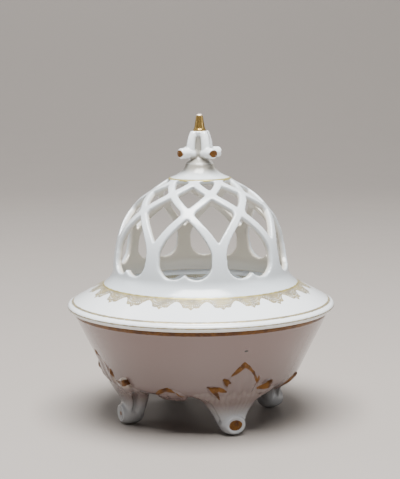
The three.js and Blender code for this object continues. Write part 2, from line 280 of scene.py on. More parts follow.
# Grain, detail and seed of each cloud
clouds = {
    "white": (34, 3), "smears": (9, 3, 3.1), "waves": (13, 2, 1.7), "pits": (1.6, 2, 5.2),
    "rubbed": (0.9, 4, 7.3), "wear": (2.2, 3, 2.9), "gold": (3.4, 3, 4.4), "goldGrain": (0.5, 2, 6.6),
}


# Porcelain under clear glaze, with gilding where the gilt edge is negative. Painted reflection and painted
# shade come in as a tone mixed over the white, and painted shade also as a mix towards the shade colour
def glazed(
    paint, gilt=None, cream=0.0, paintedLight=None, share=0.92, shade=0.0, faint=1.0, tones=gold, spot=None,
    relief=None,
):
    white = paint.mix(paint.cloud(*clouds["white"]), glaze["white"], glaze["grey"])
    if paintedLight is not None:
        white = paint.mix(share, white, paintedLight)
    # painted shade: a mix towards the shade colour
    colour = paint.mix(shade, paint.mix(cream, white, glaze["cream"]), glaze["shade"])
    specks = glaze["specks"]
    away = paint.node(
        "ShaderNodeTexVoronoi", {"feature": "F1"}, {"Vector": paint.place, "Scale": specks["cells"]}
    )
    speck = paint.within(away * specks["cell"] - specks["radius"], specks["blur"])
    colour = paint.mix(speck * specks["share"], colour, glaze["speck"])
    if spot is not None:
        colour = paint.mix(spot, colour, glaze["spot"])
    roughness = glaze["roughness"] + paint.cloud(*clouds["smears"]) * glaze["smears"]
    waves = paint.cloud(*clouds["waves"]) * glaze["waves"] + paint.cloud(*clouds["pits"]) * glaze["pits"]
    if relief is not None:
        waves = waves + relief
    values = {"Metallic": 0.0, "Coat Weight": glaze["coat"]}
    if gilt is not None:
        rubbed = paint.cloud(*clouds["rubbed"])
        worn = (paint.cloud(*clouds["wear"]) - 0.5) * 2 * gold["wear"]
        mask = paint.within(gilt + worn) * (1 - paint.ease(rubbed, *gold["rubbed"]) * gold["rubbedShare"])
        mask = mask * faint
        tone = paint.cloud(*clouds["gold"])
        metal = paint.mix(paint.ease(tone, *gold["brownFrom"]), tones["bright"], tones["brown"])
        colour = paint.mix(mask, colour, metal)
        roughness = roughness + mask * (gold["roughness"] - glaze["roughness"])
        waves = waves + mask * (1 + paint.cloud(*clouds["goldGrain"])) * gold["thickness"]
        values["Metallic"] = mask * gold["metallic"]
        values["Coat Weight"] = glaze["coat"] - mask * glaze["coat"]
    bump = paint.node(
        "ShaderNodeBump", {}, {"Strength": glaze["bump"], "Distance": 1 * mm, "Height": waves}
    )
    values.update({"Base Color": colour, "Roughness": roughness, "Normal": bump})
    refraction = glaze["refraction"]
    values.update({"IOR": refraction, "Coat Roughness": glaze["coatRoughness"], "Coat IOR": refraction})
    return paint.finish(values)


# Mesh helpers
def curve(start, pull, end, steps=8):
    start, pull, end = Vector(start), Vector(pull), Vector(end)
    shares = [i / steps for i in range(steps + 1)]
    return [start.lerp(pull, share).lerp(pull.lerp(end, share), share) for share in shares]


def doubleCurve(start, pull, push, end, steps):
    pairs = zip(curve(start, pull, push, steps), curve(pull, push, end, steps))
    return [first.lerp(second, i / steps) for i, (first, second) in enumerate(pairs)]


# A profile of (radius, height), turned full circle about the upright axis
def spun(profile, steps):
    mesh = bmesh.new()
    corners = [mesh.verts.new((radius * mm, 0, height * mm)) for radius, height in profile]
    edges = [mesh.edges.new(pair) for pair in zip(corners, corners[1:])]
    bmesh.ops.spin(
        mesh, geom=corners + edges, cent=(0, 0, 0), axis=(0, 0, 1), dvec=(0, 0, 0),
        angle=fullTurn, steps=steps, use_merge=True,
    )
    bmesh.ops.remove_doubles(mesh, verts=mesh.verts, dist=0.002 * mm)
    bmesh.ops.recalc_face_normals(mesh, faces=mesh.faces)
    return mesh


def newPiece(mesh, name):
    data = bpy.data.meshes.new(name)
    mesh.to_mesh(data)
    mesh.free()
    piece = bpy.data.objects.new(name, data)
    bpy.context.scene.collection.objects.link(piece)
    return piece


# The piece as its modifiers leave it
def settle(piece):
    graph = bpy.context.evaluated_depsgraph_get()
    finished = bpy.data.meshes.new_from_object(piece.evaluated_get(graph))
    piece.modifiers.clear()
    piece.data = finished
    piece.data.name = piece.name


def dress(piece, material, body, slot, *nodes):
    piece.data.materials.clear()
    piece.data.materials.append(material)
    piece.data.polygons.foreach_set("use_smooth", [True] * len(piece.data.polygons))
    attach(piece, body)
    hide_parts(*nodes)
    print(piece.name, "made,", len(piece.data.polygons), "faces")


# One skin round everything in the piece, with soft edges as glaze leaves them
def fuse(piece, grain, softness):
    remesh = piece.modifiers.new("fuse", "REMESH")
    remesh.mode = "VOXEL"
    remesh.voxel_size = grain * mm
    soften = piece.modifiers.new("soften", "SMOOTH")
    soften.factor = 0.5
    soften.iterations = softness
    settle(piece)


def ringEdges(ring):
    return {edge for corner in ring for edge in corner.link_edges if edge.other_vert(corner) in ring}


def bridgeRings(mesh, rings):
    for first, second in zip(rings, rings[1:]):
        bmesh.ops.bridge_loops(mesh, edges=list(ringEdges(first) | ringEdges(second)))


# A round bar through stations of (x, y, z, half width), turned by a matrix
def tube(mesh, stations, turn=Matrix.Identity(4), sides=24):
    rings = []
    for index, (x, y, z, half) in enumerate(stations):
        before, after = stations[max(index - 1, 0)], stations[min(index + 1, len(stations) - 1)]
        along = Vector(after[:3]) - Vector(before[:3])
        face = along.to_track_quat("Z", "Y").to_matrix().to_4x4()
        place = Matrix.Translation(Vector((x, y, z)) * mm)
        ring = bmesh.ops.create_circle(
            mesh, segments=sides, radius=half * mm, cap_ends=index in (0, len(stations) - 1),
            matrix=turn @ place @ face,
        )
        rings.append(ring["verts"])
    bridgeRings(mesh, rings)


noGilding = 9.0  # a distance beyond every gilt edge


def setDistances(piece, name, distances):
    layer = piece.data.attributes.new(name, "FLOAT", "POINT")
    layer.data.foreach_set("value", np.asarray(distances, np.float32))


def cornersOf(piece):
    places = np.empty(len(piece.data.vertices) * 3, np.float32)
    piece.data.vertices.foreach_get("co", places)
    return places.reshape(-1, 3) / mm


def smoothStep(values, low, high):
    share = np.clip((values - low) / (high - low), 0, 1)
    return share * share * (3 - 2 * share)


# Distance from points (across, up) to a brush stroke that is given as (across, up, half width) stations
def strokeDistance(points, stroke):
    nearest = np.full(len(points), 1e3)
    for (ax, ay, ar), (bx, by, br) in zip(stroke, stroke[1:]):
        start, along = np.array((ax, ay)), np.array((bx - ax, by - ay))
        share = np.clip((points - start) @ along / max(along @ along, 1e-9), 0, 1)
        reach = np.linalg.norm(points - start - share[:, None] * along, axis=1)
        nearest = np.minimum(nearest, reach - (ar + (br - ar) * share))
    return nearest


def nearestStroke(points, strokes):
    return np.min([strokeDistance(points, stroke) for stroke in strokes], axis=0)


def ovalDistance(across, up, width, tall):
    return (np.hypot(across / width, up / tall) - 1) * tall


# Bowl
bowlShape = {
    "rimRadius": 62.6,
    "underside": lowOf("bowl"),
    "rim": 54.6,
    "lean": math.tan(math.radians(25.9)),
    "wall": 3.2,
    "floor": lowOf("bowl") + 3.6,
    "outerCorner": 7,
    "innerCorner": 8,
    "edge": 0.8,
    "steps": 256,
    "floorRings": (12, 24, 36),  # radii of the rings in underside and floor
    "wallRings": 14,
    "bandDepth": 2.1,  # gilt band under the rim
    "bandReach": 0.9,  # how far behind the wall it may start
    "spotPlace": (39.8, -41.5, 44),  # iron spot in the glaze
    "spotSize": 0.95,
    "spotFlat": 1.9,  # how much wider it is than tall
    "spotBlur": 0.2,
}
leanCosine = math.cos(math.atan(bowlShape["lean"]))


def wallRadius(height, outset=0):
    return bowlShape["rimRadius"] - (bowlShape["rim"] - height) * bowlShape["lean"] + outset / leanCosine


def makeBowl():
    shape = bowlShape
    rim, under, floor, edge = shape["rim"], shape["underside"], shape["floor"], shape["edge"]
    bend = under + shape["outerCorner"] * leanCosine
    profile = [Vector((0, under))]
    profile += [Vector((radius, under)) for radius in shape["floorRings"]]
    foot = wallRadius(under)
    profile += curve((foot - shape["outerCorner"], under), (foot, under), (wallRadius(bend), bend), 10)
    heights = np.linspace(bend, rim - edge, shape["wallRings"])[1:]
    profile += [Vector((wallRadius(height), height)) for height in heights]
    outer = shape["rimRadius"]
    profile += curve((outer, rim - edge), (outer, rim), (outer - edge, rim), 6)[1:]
    mouth, inside = wallRadius(rim, -shape["wall"]), wallRadius(rim - edge, -shape["wall"])
    profile += curve((mouth + edge, rim), (mouth, rim), (inside, rim - edge), 6)
    bend = floor + shape["innerCorner"] * leanCosine
    heights = np.linspace(rim - edge, bend, shape["wallRings"] - 2)[1:]
    profile += [Vector((wallRadius(height, -shape["wall"]), height)) for height in heights]
    foot = wallRadius(floor, -shape["wall"])
    corner = (foot - shape["innerCorner"], floor)
    profile += curve((wallRadius(bend, -shape["wall"]), bend), (foot, floor), corner, 10)[1:]
    profile += [Vector((radius, floor)) for radius in (*reversed(shape["floorRings"][:2]), 0)]
    bowl = newPiece(spun(profile, shape["steps"]), "bowlBody")
    dress(bowl, bowlPaint(), "base", "bowl_glaze", "bowl")


# Painted light on bowl and feet: painted shade and a painted warm reflection make them warmer and darker than
# the lid, most so low on the wall, and a painted cool reflection makes the scrolls cool again
bodyTones = {
    "upper": (0.125, 0.048, 0.044, 1),
    "lower": (0.08, 0.028, 0.025, 1),
    "scroll": (0.33, 0.345, 0.37, 1),
    "wallFade": (50, 24),  # heights from upper to lower tone
    "scrollFade": (17.5, 7),
    "share": 0.92,
    "cream": 0.05,
    "insideShare": 0.8,  # how much less the bowl's inside has of it
    "insideFade": (0.3, 1.5),  # from the wall inwards
    "floorFade": (21, 22.5),
}


def bodyPaintedLight(paint):
    tones = bodyTones
    wall = paint.mix(paint.ease(paint.z, *tones["wallFade"]), tones["upper"], tones["lower"])
    return paint.mix(paint.ease(paint.z, *tones["scrollFade"]), wall, tones["scroll"])


def bowlPaint():
    shape, tones = bowlShape, bodyTones
    paint = Paint("bowlGlaze")
    inwards = wallRadius(0) + paint.z * shape["lean"] - paint.radius() - shape["bandReach"]
    band = paint.most(shape["rim"] - shape["bandDepth"] - paint.z, inwards)
    x, y, z = shape["spotPlace"]
    away = ((paint.x - x) ** 2 + (paint.y - y) ** 2 + ((paint.z - z) * shape["spotFlat"]) ** 2) ** 0.5
    spot = paint.within(away - shape["spotSize"], shape["spotBlur"])
    inside = paint.ease(inwards, *tones["insideFade"]) * paint.ease(paint.z, *tones["floorFade"])
    share = tones["share"] - inside * tones["insideShare"]
    return glazed(paint, gilt=band, cream=tones["cream"], paintedLight=bodyPaintedLight(paint), share=share, spot=spot)


makeBowl()


# Brim of the lid
brimShape = {
    "top": highOf("lid_brim"),
    "seat": bowlShape["rim"],
    "beadCentre": (63.2, 56.4),
    "bead": 1.8,
    "slope": math.radians(28.8),
    "domeFoot": 48,
    "inner": 44.4,
    "thickness": 3,
    "ringDepth": 4.2,
    "ringOutside": 56.20,
    "ringWall": 2.4,
    "edge": 0.8,
    "seatFillet": 0.5,
    # shallow line inside the rolled edge
    "groove": 0.22,
    "groovePlace": 0.6,
    "grooveWidth": 0.45,
    "beadSteps": 24,
    "slopeSteps": 48,
    "steps": 288,
}


def makeBrim():
    shape = brimShape
    top, seat, slope = shape["top"], shape["seat"], shape["slope"]
    centreX, centreZ = shape["beadCentre"]
    under = top - shape["thickness"] / math.cos(slope)
    low = seat - shape["ringDepth"]
    outside = shape["ringOutside"]
    inside = outside - shape["ringWall"]
    edge = shape["edge"]
    profile = [Vector((shape["inner"], under)), Vector((shape["domeFoot"], under))]
    profile += [Vector((inside, under - (inside - shape["domeFoot"]) * math.tan(slope)))]
    profile += curve((inside, low + edge), (inside, low), (inside + edge, low), 4)
    profile += curve((outside - edge, low), (outside, low), (outside, low + edge), 4)
    fillet = shape["seatFillet"]
    profile += curve((outside, seat - fillet), (outside, seat), (outside + fillet, seat), 3)
    start, end, steps = -math.pi / 2, math.pi / 2 - slope, shape["beadSteps"]
    for i in range(steps + 1):
        turn = start + (end - start) * i / steps
        bead = Vector((centreX + shape["bead"] * math.cos(turn), centreZ + shape["bead"] * math.sin(turn)))
        profile.append(bead)
    run = bead.x - shape["domeFoot"]
    steps = shape["slopeSteps"]
    for i in range(1, steps + 1):
        radius = bead.x - run * i / steps
        height = bead.y + (bead.x - radius) * math.tan(slope)
        away = (bead.x - radius - shape["groovePlace"]) / shape["grooveWidth"]
        profile.append(Vector((radius, height - shape["groove"] * math.exp(-(away ** 2)))))
    profile += [Vector((shape["inner"], top)), Vector((shape["inner"], under))]
    brim = newPiece(spun(profile, shape["steps"]), "lidBrim")
    dress(brim, brimPaint(), "lid", "lid_glaze", "lid_brim")


lace = {
    "count": 23,  # scallops round the brim
    "middle": math.radians(-56.17),  # of one scallop
    "foot": 48.2,  # radius of the gold line that it hangs from
    "depth": 6.0,
    # a scallop narrows outside its flat middle, and more slowly outside its shoulder: degrees, then slopes
    "flat": 3.7,
    "flatSlope": 1.6,
    "shoulder": 5.5,
    "shoulderDepth": 3.0,
    "shoulderSlope": 0.74,
    "wave": 0.35,  # small bumps along the edge
    "waveTurns": 1.9,
    "tip": 0.7,  # point in the middle of a scallop
    "tipSlope": 0.9,
    "overlap": 0.2,
    "outline": 0.5,
    "middleRadius": 51,  # where the fan's width is measured
    "fanRoot": 3.5,  # above the line
    "spokes": 0.12,  # radians between the rays of a fan
    "spokeShift": 30.5,  # keeps the count of rays above zero, with a gap in the middle
    "rings": 1.3,
    "thread": 0.32,  # half width of the net's threads
}


# Distance to the gold of a fan of fine rays and rings, hanging from the line at the dome's foot
def laceEdge(paint):
    pitch = fullTurn / lace["count"]
    turned = (paint.angle() - lace["middle"]) / pitch + 0.5
    across = (paint.maths("FRACT", turned + lace["count"]) - 0.5) * math.degrees(pitch)
    beside = abs(across)
    down = (paint.radius() - lace["foot"]) / math.cos(brimShape["slope"])
    wavy = abs(paint.maths("SINE", across * lace["waveTurns"])) * lace["wave"]
    bottom = paint.least(lace["depth"] - (beside - lace["flat"]) * lace["flatSlope"], lace["depth"])
    shoulder = lace["shoulderDepth"] - (beside - lace["shoulder"]) * lace["shoulderSlope"]
    bottom = paint.most(bottom, shoulder) + wavy - lace["overlap"]
    point = paint.most(lace["tip"] - beside * lace["tipSlope"], 0.0)
    silhouette = down - bottom - point
    sideways, away = across * (math.radians(1) * lace["middleRadius"]), down + lace["fanRoot"]
    reach = (sideways * sideways + away * away) ** 0.5
    ray = paint.maths("ARCTAN2", sideways, away) / lace["spokes"]
    rays = abs(paint.maths("FRACT", ray + lace["spokeShift"]) - 0.5) * lace["spokes"] * reach
    rings = abs(paint.maths("FRACT", reach / lace["rings"]) - 0.5) * lace["rings"]
    net = paint.least(rays, rings) - lace["thread"]
    rim = abs(silhouette + lace["outline"]) - lace["outline"]
    return paint.most(silhouette, paint.least(net, rim), -lace["overlap"] - down)


# Gold lines: their middle, half width and where they end
brimLines = {
    "foot": (47.9, 0.7, 64.5),  # radius, above a height
    "edge": (62.5, 0.5, 57.0),
    "bead": (56.6, 0.3, 64.4),  # height, outside a radius
    "laceAbove": 60,
    "reflectionBelow": (57.0, 1.5),  # height, and the fade below it, of a painted warm reflection on the bead's lower half
    "cream": 0.3,
    "faint": 0.85,
}


def brimPaint():
    paint = Paint("brimGlaze")
    radius = paint.radius()
    lines = []
    for name, along, other in ("foot", radius, paint.z), ("edge", radius, paint.z), ("bead", paint.z, radius):
        middle, half, end = brimLines[name]
        lines.append(paint.most(abs(along - middle) - half, end - other))
    gilt = paint.least(*lines, paint.most(laceEdge(paint), brimLines["laceAbove"] - paint.z))
    # painted warm reflection on the bead's lower half and the ring below it
    height, fade = brimLines["reflectionBelow"]
    cream = paint.ease(height - paint.z, 0, fade) * brimLines["cream"]
    return glazed(paint, gilt=gilt, cream=cream, faint=brimLines["faint"], tones=paleGold)


makeBrim()


# Pierced dome
domeShape = {
    "foot": 48,
    "footWidth": 3.6,
    "radius": 42.9,
    "cove": 7.2,
    "coveBend": 0.45,  # of its height
    "rise": 51.4,
    "lean": math.radians(2),
    "side": 33.2,
    "crown": 14.7,
    "crownSlope": math.radians(37.7),
    "crownSpread": 8.7,
    "wall": 3,
    "neck": 6.9,
    "neckBend": 2.4,
    "neckPull": 0.5,
    "neckTop": 0.2,  # how far it goes into the finial
    "crownThickness": 7.3,
    "sunk": 1.4,  # how far its foot goes into the brim
    "coveSteps": 60,
    "wallSteps": 240,
    "cutInside": -7,  # reach of the cutters through the wall
    "cutOutside": 8,
    "steps": 160,
    "grain": 0.56,
    "softness": 3,
}
lattice = {
    "posts": 8,
    "postWidth": 7.3,
    "ribWidth": 3.55,
    "ribTaper": 5.2,
    "ribStart": 18.6,
    "ribEnd": 63.4,
    "rows": 3,
    "bend": 1.66,
    "archSpring": 16.8,
    "archFoot": 9.7,
    "archCusp": 2.5,
    "turn": math.radians(-9.8),
}
brimTop = brimShape["top"]
finialFoot = lowOf("finial")
spacing = fullTurn / lattice["posts"]


def coveCurve(atBrim, atWall, steps):
    bend = domeShape["coveBend"] * domeShape["cove"]
    middle = atWall + (domeShape["cove"] - bend) * math.tan(domeShape["lean"])
    return curve((atBrim, brimTop), (middle, brimTop + bend), (atWall, brimTop + domeShape["cove"]), steps)


def domeCurve():
    shape = domeShape
    base = Vector((shape["radius"], brimTop + shape["cove"]))
    crown = Vector((shape["crown"], brimTop + shape["rise"]))
    side = base + shape["side"] * Vector((-math.sin(shape["lean"]), math.cos(shape["lean"])))
    slope = shape["crownSlope"]
    brow = crown + shape["crownSpread"] * Vector((math.cos(slope), -math.sin(slope)))
    wall = doubleCurve(base, side, brow, crown, shape["wallSteps"])
    return coveCurve(shape["foot"], shape["radius"], shape["coveSteps"]) + wall[1:]


domeLine = domeCurve()
domeReach = [0.0]
for first, second in zip(domeLine, domeLine[1:]):
    domeReach.append(domeReach[-1] + (second - first).length)


# A point beside the dome's outside: how far up the wall from the brim, and how far out from it
def besideWall(distance, outset=0):
    index = min(max(int(np.searchsorted(domeReach, distance)), 1), len(domeLine) - 1)
    first, second = domeLine[index - 1], domeLine[index]
    share = (distance - domeReach[index - 1]) / (domeReach[index] - domeReach[index - 1])
    along = (second - first).normalized()
    return first.lerp(second, share) + outset * Vector((along.y, -along.x))


def ribAt(distance):
    shape = lattice
    past = max(0, distance - shape["ribStart"])
    rise = past / (shape["ribEnd"] - shape["ribStart"])
    angle = shape["rows"] * spacing / 2 * rise ** shape["bend"]
    radius = besideWall(distance).x
    spread = shape["postWidth"] - shape["ribWidth"]
    width = shape["ribWidth"] + spread * math.exp(-past / shape["ribTaper"])
    slant = radius * shape["bend"] * angle / past if past else 0
    return angle, width / 2 * math.hypot(1, slant) / radius


# Half the angle of an opening; row 0 is the arches, and each next row sits half a spacing on
def openingHalf(row, distance):
    angle, half = ribAt(distance)
    return min(angle - (row - 1) * spacing / 2, (row + 1) * spacing / 2 - angle) - half


def openingSide(row):
    fine = 0.05
    low = lattice["ribStart"] if row else lattice["archSpring"]
    while openingHalf(row, low) <= 0:
        low += fine
    high = low
    while high < lattice["ribEnd"] and openingHalf(row, high) > 0:
        high += fine
    steps = 18 if row else 26
    side = []
    for i in range(steps + 1):
        distance = low + (high - low) * (0.5 - 0.5 * math.cos(math.pi * i / steps))
        side.append((max(0.0, openingHalf(row, distance)), distance))
    if row == 0:
        side = archFootSide(side[0][0]) + side
    return side


# Foot of an arch: two lobes that meet in a cusp
def archFootSide(halfAngle):
    drop = lattice["archSpring"] - lattice["archFoot"]
    overlap = math.sqrt(1 - (1 - lattice["archCusp"] / drop) ** 2)
    lobe = halfAngle / (1 + overlap)
    cusp = math.pi - math.acos(overlap)
    side = []
    for i in range(12):
        turn = cusp * (1 - i / 12)
        side.append((lobe * (overlap + math.cos(turn)), lattice["archSpring"] - drop * math.sin(turn)))
    return side


# One cutter for each opening, bridged from an outline inside the wall to one outside it
def makeCutters():
    mesh = bmesh.new()
    for row in range(lattice["rows"] + 1):
        right = openingSide(row)
        outline = right + [(-angle, distance) for angle, distance in reversed(right) if angle > 1e-3]
        for post in range(lattice["posts"]):
            middle = lattice["turn"] + (post + (row + 1) % 2 / 2) * spacing
            loops = []
            for outset in (domeShape["cutInside"], domeShape["cutOutside"]):
                corners = []
                for angle, distance in outline:
                    point = besideWall(distance, outset)
                    turn = middle + angle
                    corners.append(mesh.verts.new((
                        point.x * math.cos(turn) * mm, point.x * math.sin(turn) * mm, point.y * mm,
                    )))
                edges = [mesh.edges.new((corners[i - 1], corners[i])) for i in range(len(corners))]
                bmesh.ops.contextual_create(mesh, geom=edges)
                loops += edges
            bmesh.ops.bridge_loops(mesh, edges=loops)
    bmesh.ops.triangulate(mesh, faces=mesh.faces)
    bmesh.ops.recalc_face_normals(mesh, faces=mesh.faces)
    return newPiece(mesh, "cutters")


def makeDome():
    shape = domeShape
    foot = brimTop - shape["sunk"]
    inner = shape["foot"] - shape["footWidth"]
    hollowTop = finialFoot - shape["crownThickness"]
    crown = besideWall(domeReach[-1], -shape["wall"])
    profile = curve((0, hollowTop), (0.6 * crown.x, hollowTop), crown, 8)
    count = 30
    for i in range(1, count):
        distance = domeReach[-1] + (domeReach[shape["coveSteps"]] - domeReach[-1]) * i / count
        profile.append(besideWall(distance, -shape["wall"]))
    profile += list(reversed(coveCurve(inner, shape["radius"] - shape["wall"], 8)))
    profile += [Vector((inner, foot)), Vector((shape["foot"] + 0.1, foot))]
    profile += [besideWall(domeReach[-1] * i / 70) for i in range(71)]
    shoulder = brimTop + shape["rise"]
    neck, pull, top = shape["neck"], shape["neckPull"], finialFoot + shape["neckTop"]
    bend = (neck + pull, shoulder + shape["neckBend"])
    profile += curve((shape["crown"], shoulder), bend, (neck, finialFoot), 14)[1:]
    profile += [Vector((neck - pull, top)), Vector((0, top))]
    dome = newPiece(spun(profile, shape["steps"]), "lidDome")
    cutters = makeCutters()
    pierce = dome.modifiers.new("pierce", "BOOLEAN")
    pierce.operation = "DIFFERENCE"
    pierce.solver = "EXACT"
    pierce.object = cutters
    fuse(dome, shape["grain"], shape["softness"])
    bpy.data.objects.remove(cutters)
    places = cornersOf(dome)
    line = np.array([tuple(point) for point in domeLine[::2]])
    radius = np.hypot(places[:, 0], places[:, 1])
    spot = np.stack([radius, places[:, 2]], 1)
    depth = np.min(np.linalg.norm(spot[:, None] - line[None], axis=2), axis=1)
    setDistances(dome, "depth", depth)
    dress(dome, domePaint(), "lid", "lid_glaze", "lid_dome")


# Painted light on the dome: the cool grey tint is painted shade, stronger low on the wall; inside the wall it
# is creamer and darker with painted shade; the neck has a painted shadow under the finial's knobs
domeTones = {
    "paintedLight": (0.56, 0.615, 0.66, 1),
    "share": 0.42,
    "shareBelow": 0.4,  # more painted shade, added low on the wall
    "belowFade": (104, 78),
    "neckLine": (14.3, 1.0, 116),  # radius, half width, above a height
    "footLine": 67.35,
    "gildingDepth": 0.45,  # gilding lies on the outside only
    "inwardFade": (0.5, 3.0),  # from the outside through the wall
    "inwardTop": (119, 117),
    "inwardCream": 0.8,
    "inwardShade": 0.3,
    "neckShade": 0.95,
    "neckFade": (-6.5, -1.5),  # from the finial's foot
    "faint": 0.9,
}


def domePaint():
    tones = domeTones
    paint = Paint("domeGlaze")
    depth = paint.attribute("depth")
    middle, half, above = tones["neckLine"]
    neckLine = paint.most(abs(paint.radius() - middle) - half, above - paint.z)
    gilt = paint.most(paint.least(neckLine, paint.z - tones["footLine"]), depth - tones["gildingDepth"])
    inward = paint.ease(depth, *tones["inwardFade"]) * paint.ease(paint.z, *tones["inwardTop"])
    neck = paint.ease(paint.z, *(finialFoot + height for height in tones["neckFade"]))
    return glazed(
        paint, gilt=gilt, cream=inward * tones["inwardCream"], paintedLight=tones["paintedLight"],
        share=tones["share"] + paint.ease(paint.z, *tones["belowFade"]) * tones["shareBelow"],
        shade=neck * tones["neckShade"] + inward * tones["inwardShade"], faint=tones["faint"],
        tones=yellowGold,
    )


makeDome()


# Finial: four scrolls that lean together into a bud
finialShape = {
    "count": 4,
    "turn": math.radians(-32.3),
    # stations of one scroll, its stem and its knob: radius, height above the foot, half width
    "stem": [
        (2.9, 14.9, 1.95), (3.5, 13.8, 2.1), (4.3, 11.8, 2.15), (4.85, 9.6, 2.2), (5.1, 7.4, 2.25),
        (4.9, 5.0, 2.1),
    ],
    "knob": [
        (2.4, 4.6, 2.5), (4.4, 4.85, 2.6), (6.4, 5.15, 2.55), (8.6, 5.25, 2.6), (10.8, 5.15, 2.55),
        (11.4, 5.15, 2.4), (11.7, 5.15, 2.0),
    ],
    "knobHeight": 5.15,
    "eye": (2.4, 1.7),  # half width and half height
    "eyeFrom": 10.6,  # radius where the end face starts
    # radius and height above the foot
    "core": [
        (0, -1.0), (6.6, -1.0), (6.8, 0.0), (6.4, 0.6), (5.3, 1.4), (4.2, 2.3), (3.5, 3.4), (3.2, 9),
        (3.1, 12.6), (3.9, 14.2), (4.2, 15.2), (3.9, 15.6), (0, 15.8),
    ],
    # painted shade: between the stems, and all round the foot under the knobs
    "betweenFade": (-5.6, -3.8),
    "underHeight": (-4.5, -3),
    "underRadius": (-7.5, -6.3),
    "topFade": (-14, -12.5),
    "shade": 0.9,
    "grain": 0.24,
    "softness": 5,
}


def makeFinial():
    shape = finialShape
    mesh = spun([Vector((radius, finialFoot + height)) for radius, height in shape["core"]], 48)
    for i in range(shape["count"]):
        turn = Matrix.Rotation(shape["turn"] + i * fullTurn / shape["count"], 4, "Z")
        for bar in (shape["stem"], shape["knob"]):
            tube(mesh, [(radius, 0, finialFoot + height, half) for radius, height, half in bar], turn)
    bmesh.ops.recalc_face_normals(mesh, faces=mesh.faces)
    finial = newPiece(mesh, "finialBud")
    fuse(finial, shape["grain"], shape["softness"])
    places = cornersOf(finial)
    up = places[:, 2] - finialFoot
    eyes = np.full(len(places), noGilding)
    for i in range(shape["count"]):
        turn = shape["turn"] + i * fullTurn / shape["count"]
        out = places[:, 0] * math.cos(turn) + places[:, 1] * math.sin(turn)
        aside = places[:, 1] * math.cos(turn) - places[:, 0] * math.sin(turn)
        off = ovalDistance(aside, up - shape["knobHeight"], *shape["eye"])
        eyes = np.minimum(eyes, np.maximum(off, shape["eyeFrom"] - out))
    setDistances(finial, "gilding", eyes)
    # hollow: painted shade between the stems and under the knobs
    radius = np.hypot(places[:, 0], places[:, 1])
    under = smoothStep(-up, *shape["underHeight"]) * smoothStep(-radius, *shape["underRadius"])
    between = smoothStep(-radius, *shape["betweenFade"])
    setDistances(finial, "hollow", np.maximum(between, under) * smoothStep(-up, *shape["topFade"]))
    paint = Paint("finialGlaze")
    shade = paint.attribute("hollow") * shape["shade"]
    material = glazed(paint, gilt=paint.attribute("gilding"), shade=shade)
    dress(finial, material, "lid", "lid_glaze", "finial")


makeFinial()


# Gilt spire on the finial
spireShape = {
    # radius and height above its foot
    "profile": [
        (3.1, -0.6), (3.2, 0.0), (3.1, 0.35), (2.65, 1.0), (2.4, 2.2), (2.2, 3.6), (1.95, 5.0), (1.75, 6.4),
    ],
    "tip": 1.6,
    "height": 8.0,
    "sunk": 0.6,  # how far its foot goes into the finial
    "steps": 64,
    "pale": (0.52, 0.36, 0.12, 1),
    "deep": (0.27, 0.165, 0.045, 1),
    "bare": (0.85, 0.78, 0.68, 1),  # where the tip is worn
    "streaks": 7,
    "metallic": 0.9,
    "bareMetallic": 0.8,  # how much less metallic a worn place is
    "roughness": 0.24,
    "deepRoughness": 0.16,
}


def makeSpire():
    foot = lowOf("finial_spire")
    tip, height = spireShape["tip"], spireShape["height"]
    profile = [Vector((0, foot - spireShape["sunk"]))]
    profile += [Vector((radius, foot + up)) for radius, up in spireShape["profile"]]
    profile += curve((tip, foot + height - 1.0), (tip * 0.95, foot + height), (0, foot + height), 8)
    spire = newPiece(spun(profile, spireShape["steps"]), "finialSpire")
    smooth = spire.modifiers.new("smooth", "SUBSURF")
    smooth.levels = 1
    smooth.render_levels = 1
    settle(spire)
    paint = Paint("spireGilding")
    worn = paint.ease(paint.cloud(1.2, 3, 2.2) * 1.2 + (paint.z - foot - height), -0.6, 0.5)
    streaks = abs(paint.maths("SINE", paint.angle() * spireShape["streaks"] + paint.cloud(4, 2, 5.5) * 6))
    tone = paint.ease(paint.cloud(1.9, 3, 8.1) * 0.6 + streaks * 0.4, 0.3, 0.75)
    metal = paint.mix(tone, spireShape["pale"], spireShape["deep"])
    bump = paint.node(
        "ShaderNodeBump", {}, {"Strength": 0.3, "Distance": 0.4 * mm, "Height": paint.cloud(0.8, 3, 1.1)}
    )
    material = paint.finish({
        "Base Color": paint.mix(worn, metal, spireShape["bare"]),
        "Metallic": spireShape["metallic"] - worn * spireShape["bareMetallic"],
        "Roughness": spireShape["roughness"] + tone * spireShape["deepRoughness"],
        "Normal": bump,
    })
    dress(spire, material, "lid", "gilding", "finial_spire")


makeSpire()


